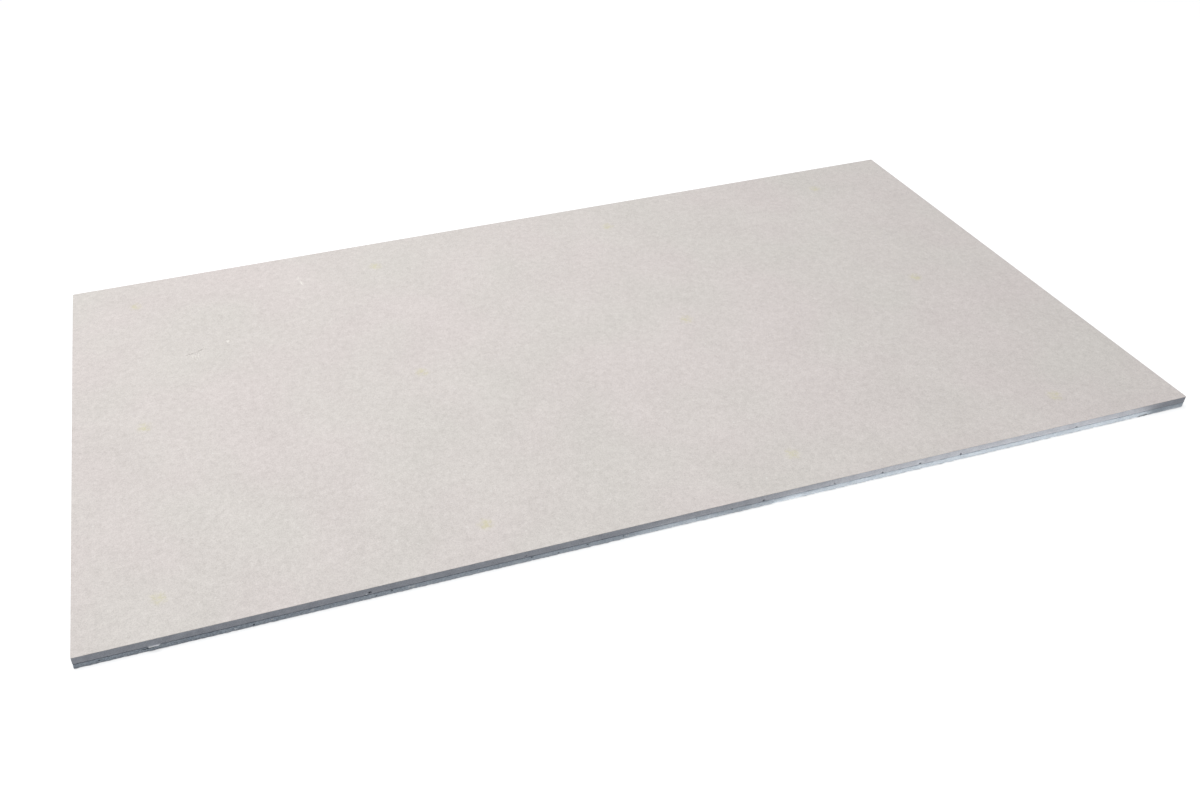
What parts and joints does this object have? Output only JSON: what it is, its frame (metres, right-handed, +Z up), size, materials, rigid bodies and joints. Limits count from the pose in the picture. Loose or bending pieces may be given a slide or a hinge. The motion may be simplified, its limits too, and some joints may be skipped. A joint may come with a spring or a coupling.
{
  "type": "drywall sheet",
  "caption": "Flat rectangular sheet of laminated drywall with square sawn edges, paper on its face and a white liner on its back, for lining walls and ceilings.",
  "frame": {"origin": "middle of the underside, on the floor that the sheet lies on", "axes": "+X along the long side, +Y across the sheet, +Z up out of its papered face"},
  "size_m": [1.2, 0.6, 0.015],
  "materials": {
    "grey_paper": "matte",
    "grey_gypsum": "matte",
    "glue": "matte",
    "light_gypsum": "matte",
    "white_liner": "matte"
  },
  "bodies": {
    "root": {"back_liner": "white_liner", "lower_core": "light_gypsum", "bond_layer": "glue", "upper_core": "grey_gypsum", "face_paper": "grey_paper"}
  },
  "joints": []
}
